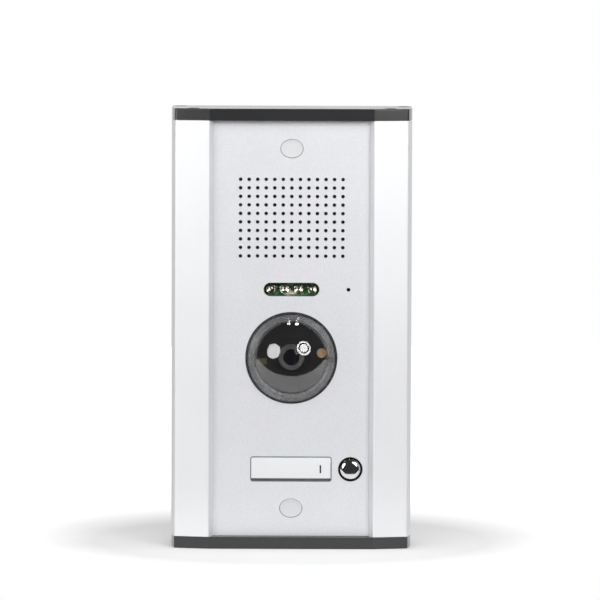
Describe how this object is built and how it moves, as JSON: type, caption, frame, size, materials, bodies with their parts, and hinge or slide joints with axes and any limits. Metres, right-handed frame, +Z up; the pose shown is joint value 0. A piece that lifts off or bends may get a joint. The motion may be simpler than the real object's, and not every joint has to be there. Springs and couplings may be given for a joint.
{
  "type": "door intercom panel",
  "caption": "Surface-mount video door station with aluminium side rails, recessed faceplate, speaker grille, infrared lamps, camera dome, name window and call button.",
  "frame": {"origin": "middle of the rear mounting face, on the wall", "axes": "+Z up along the height, +X to the right seen from the front, -Y out of the front towards the visitor, +Y into the wall"},
  "size_m": [0.13, 0.051, 0.238],
  "materials": {
    "faceplate_silver": "satin",
    "rail_silver": "satin",
    "cap_grey": "satin",
    "plug_grey": "satin",
    "box_grey": "satin",
    "zinc": "satin",
    "brass": "satin",
    "rubber_black": "matte",
    "foam_grey": "matte",
    "clear": "polished",
    "lens": "polished",
    "retainer_grey": "satin",
    "camera_black": "satin",
    "board_green": "satin",
    "sensor_tan": "satin",
    "connector_olive": "satin",
    "cloth_black": "matte",
    "cone_paper": "matte",
    "ferrite": "satin",
    "card_white": "matte",
    "tray_white": "satin",
    "chrome": "polished",
    "gloss_black": "polished",
    "terminal_blue": "satin",
    "component_black": "satin",
    "trimmer_cream": "satin"
  },
  "bodies": {
    "panel": {"left_rail": "rail_silver", "right_rail": "rail_silver", "faceplate": "faceplate_silver", "top_cap": "cap_grey", "bottom_cap": "cap_grey", "cap_screws": "zinc", "back_plate": "box_grey", "wall_seal": "foam_grey", "fixing_posts": "zinc", "screw_cups": "box_grey", "fixing_screws": "zinc", "upper_screw_plug": "plug_grey", "lower_screw_plug": "plug_grey", "cable_grommet": "rubber_black", "dome_window": "clear", "dome_gasket": "rubber_black", "dome_retainer": "retainer_grey", "retainer_spacers": "zinc", "lamp_window": "clear", "infrared_lamps": "clear", "lamp_board": "board_green", "lamp_spacers": "zinc", "microphone_boot": "rubber_black", "microphone": "zinc", "speaker_cloth": "cloth_black", "speaker_gasket": "foam_grey", "speaker_frame": "zinc", "speaker_cone": "cone_paper", "speaker_magnet": "ferrite", "speaker_clamps": "zinc", "clamp_spacers": "zinc", "name_window": "clear", "name_card": "card_white", "name_tray": "tray_white", "name_lamps": "card_white", "button_collar": "gloss_black", "button_switch": "component_black", "button_spring": "zinc", "button_board": "board_green", "button_spacers": "zinc", "main_board": "board_green", "main_spacers": "brass", "terminal_block": "terminal_blue", "terminal_screws": "zinc", "capacitors": "component_black", "control_chips": "component_black", "door_relay": "component_black", "trimmer_bodies": "trimmer_cream", "board_screws": "zinc"},
    "call_button": {"button_cap": "chrome", "switch_plunger": "component_black"},
    "camera": {"camera_carrier": "camera_black", "camera_board": "board_green", "lens_holder": "camera_black", "lens_barrel": "camera_black", "lens_glass": "lens", "light_sensor": "sensor_tan", "camera_connector": "connector_olive"},
    "volume_control": {"volume_trimmer": "gloss_black"},
    "gain_control": {"gain_trimmer": "gloss_black"}
  },
  "joints": [
    {"name": "call_button_press", "type": "slide", "parent": "panel", "child": "call_button", "axis": [0, 1, 0], "range_m": [0, 0.0012], "stiffness_N_per_m": 900, "springref_m": -0.001, "deforming": ["button_spring"]},
    {"name": "camera_tilt", "type": "hinge", "parent": "panel", "child": "camera", "pos_m": [0, -0.024, -0.0158], "axis": [1, 0, 0], "range_deg": [-12, 12]},
    {"name": "volume_turn", "type": "hinge", "parent": "panel", "child": "volume_control", "pos_m": [0.022, -0.008, -0.006], "axis": [0, 1, 0], "range_deg": [-135, 135]},
    {"name": "gain_turn", "type": "hinge", "parent": "panel", "child": "gain_control", "pos_m": [0.032, -0.008, -0.006], "axis": [0, 1, 0], "range_deg": [-135, 135]}
  ]
}
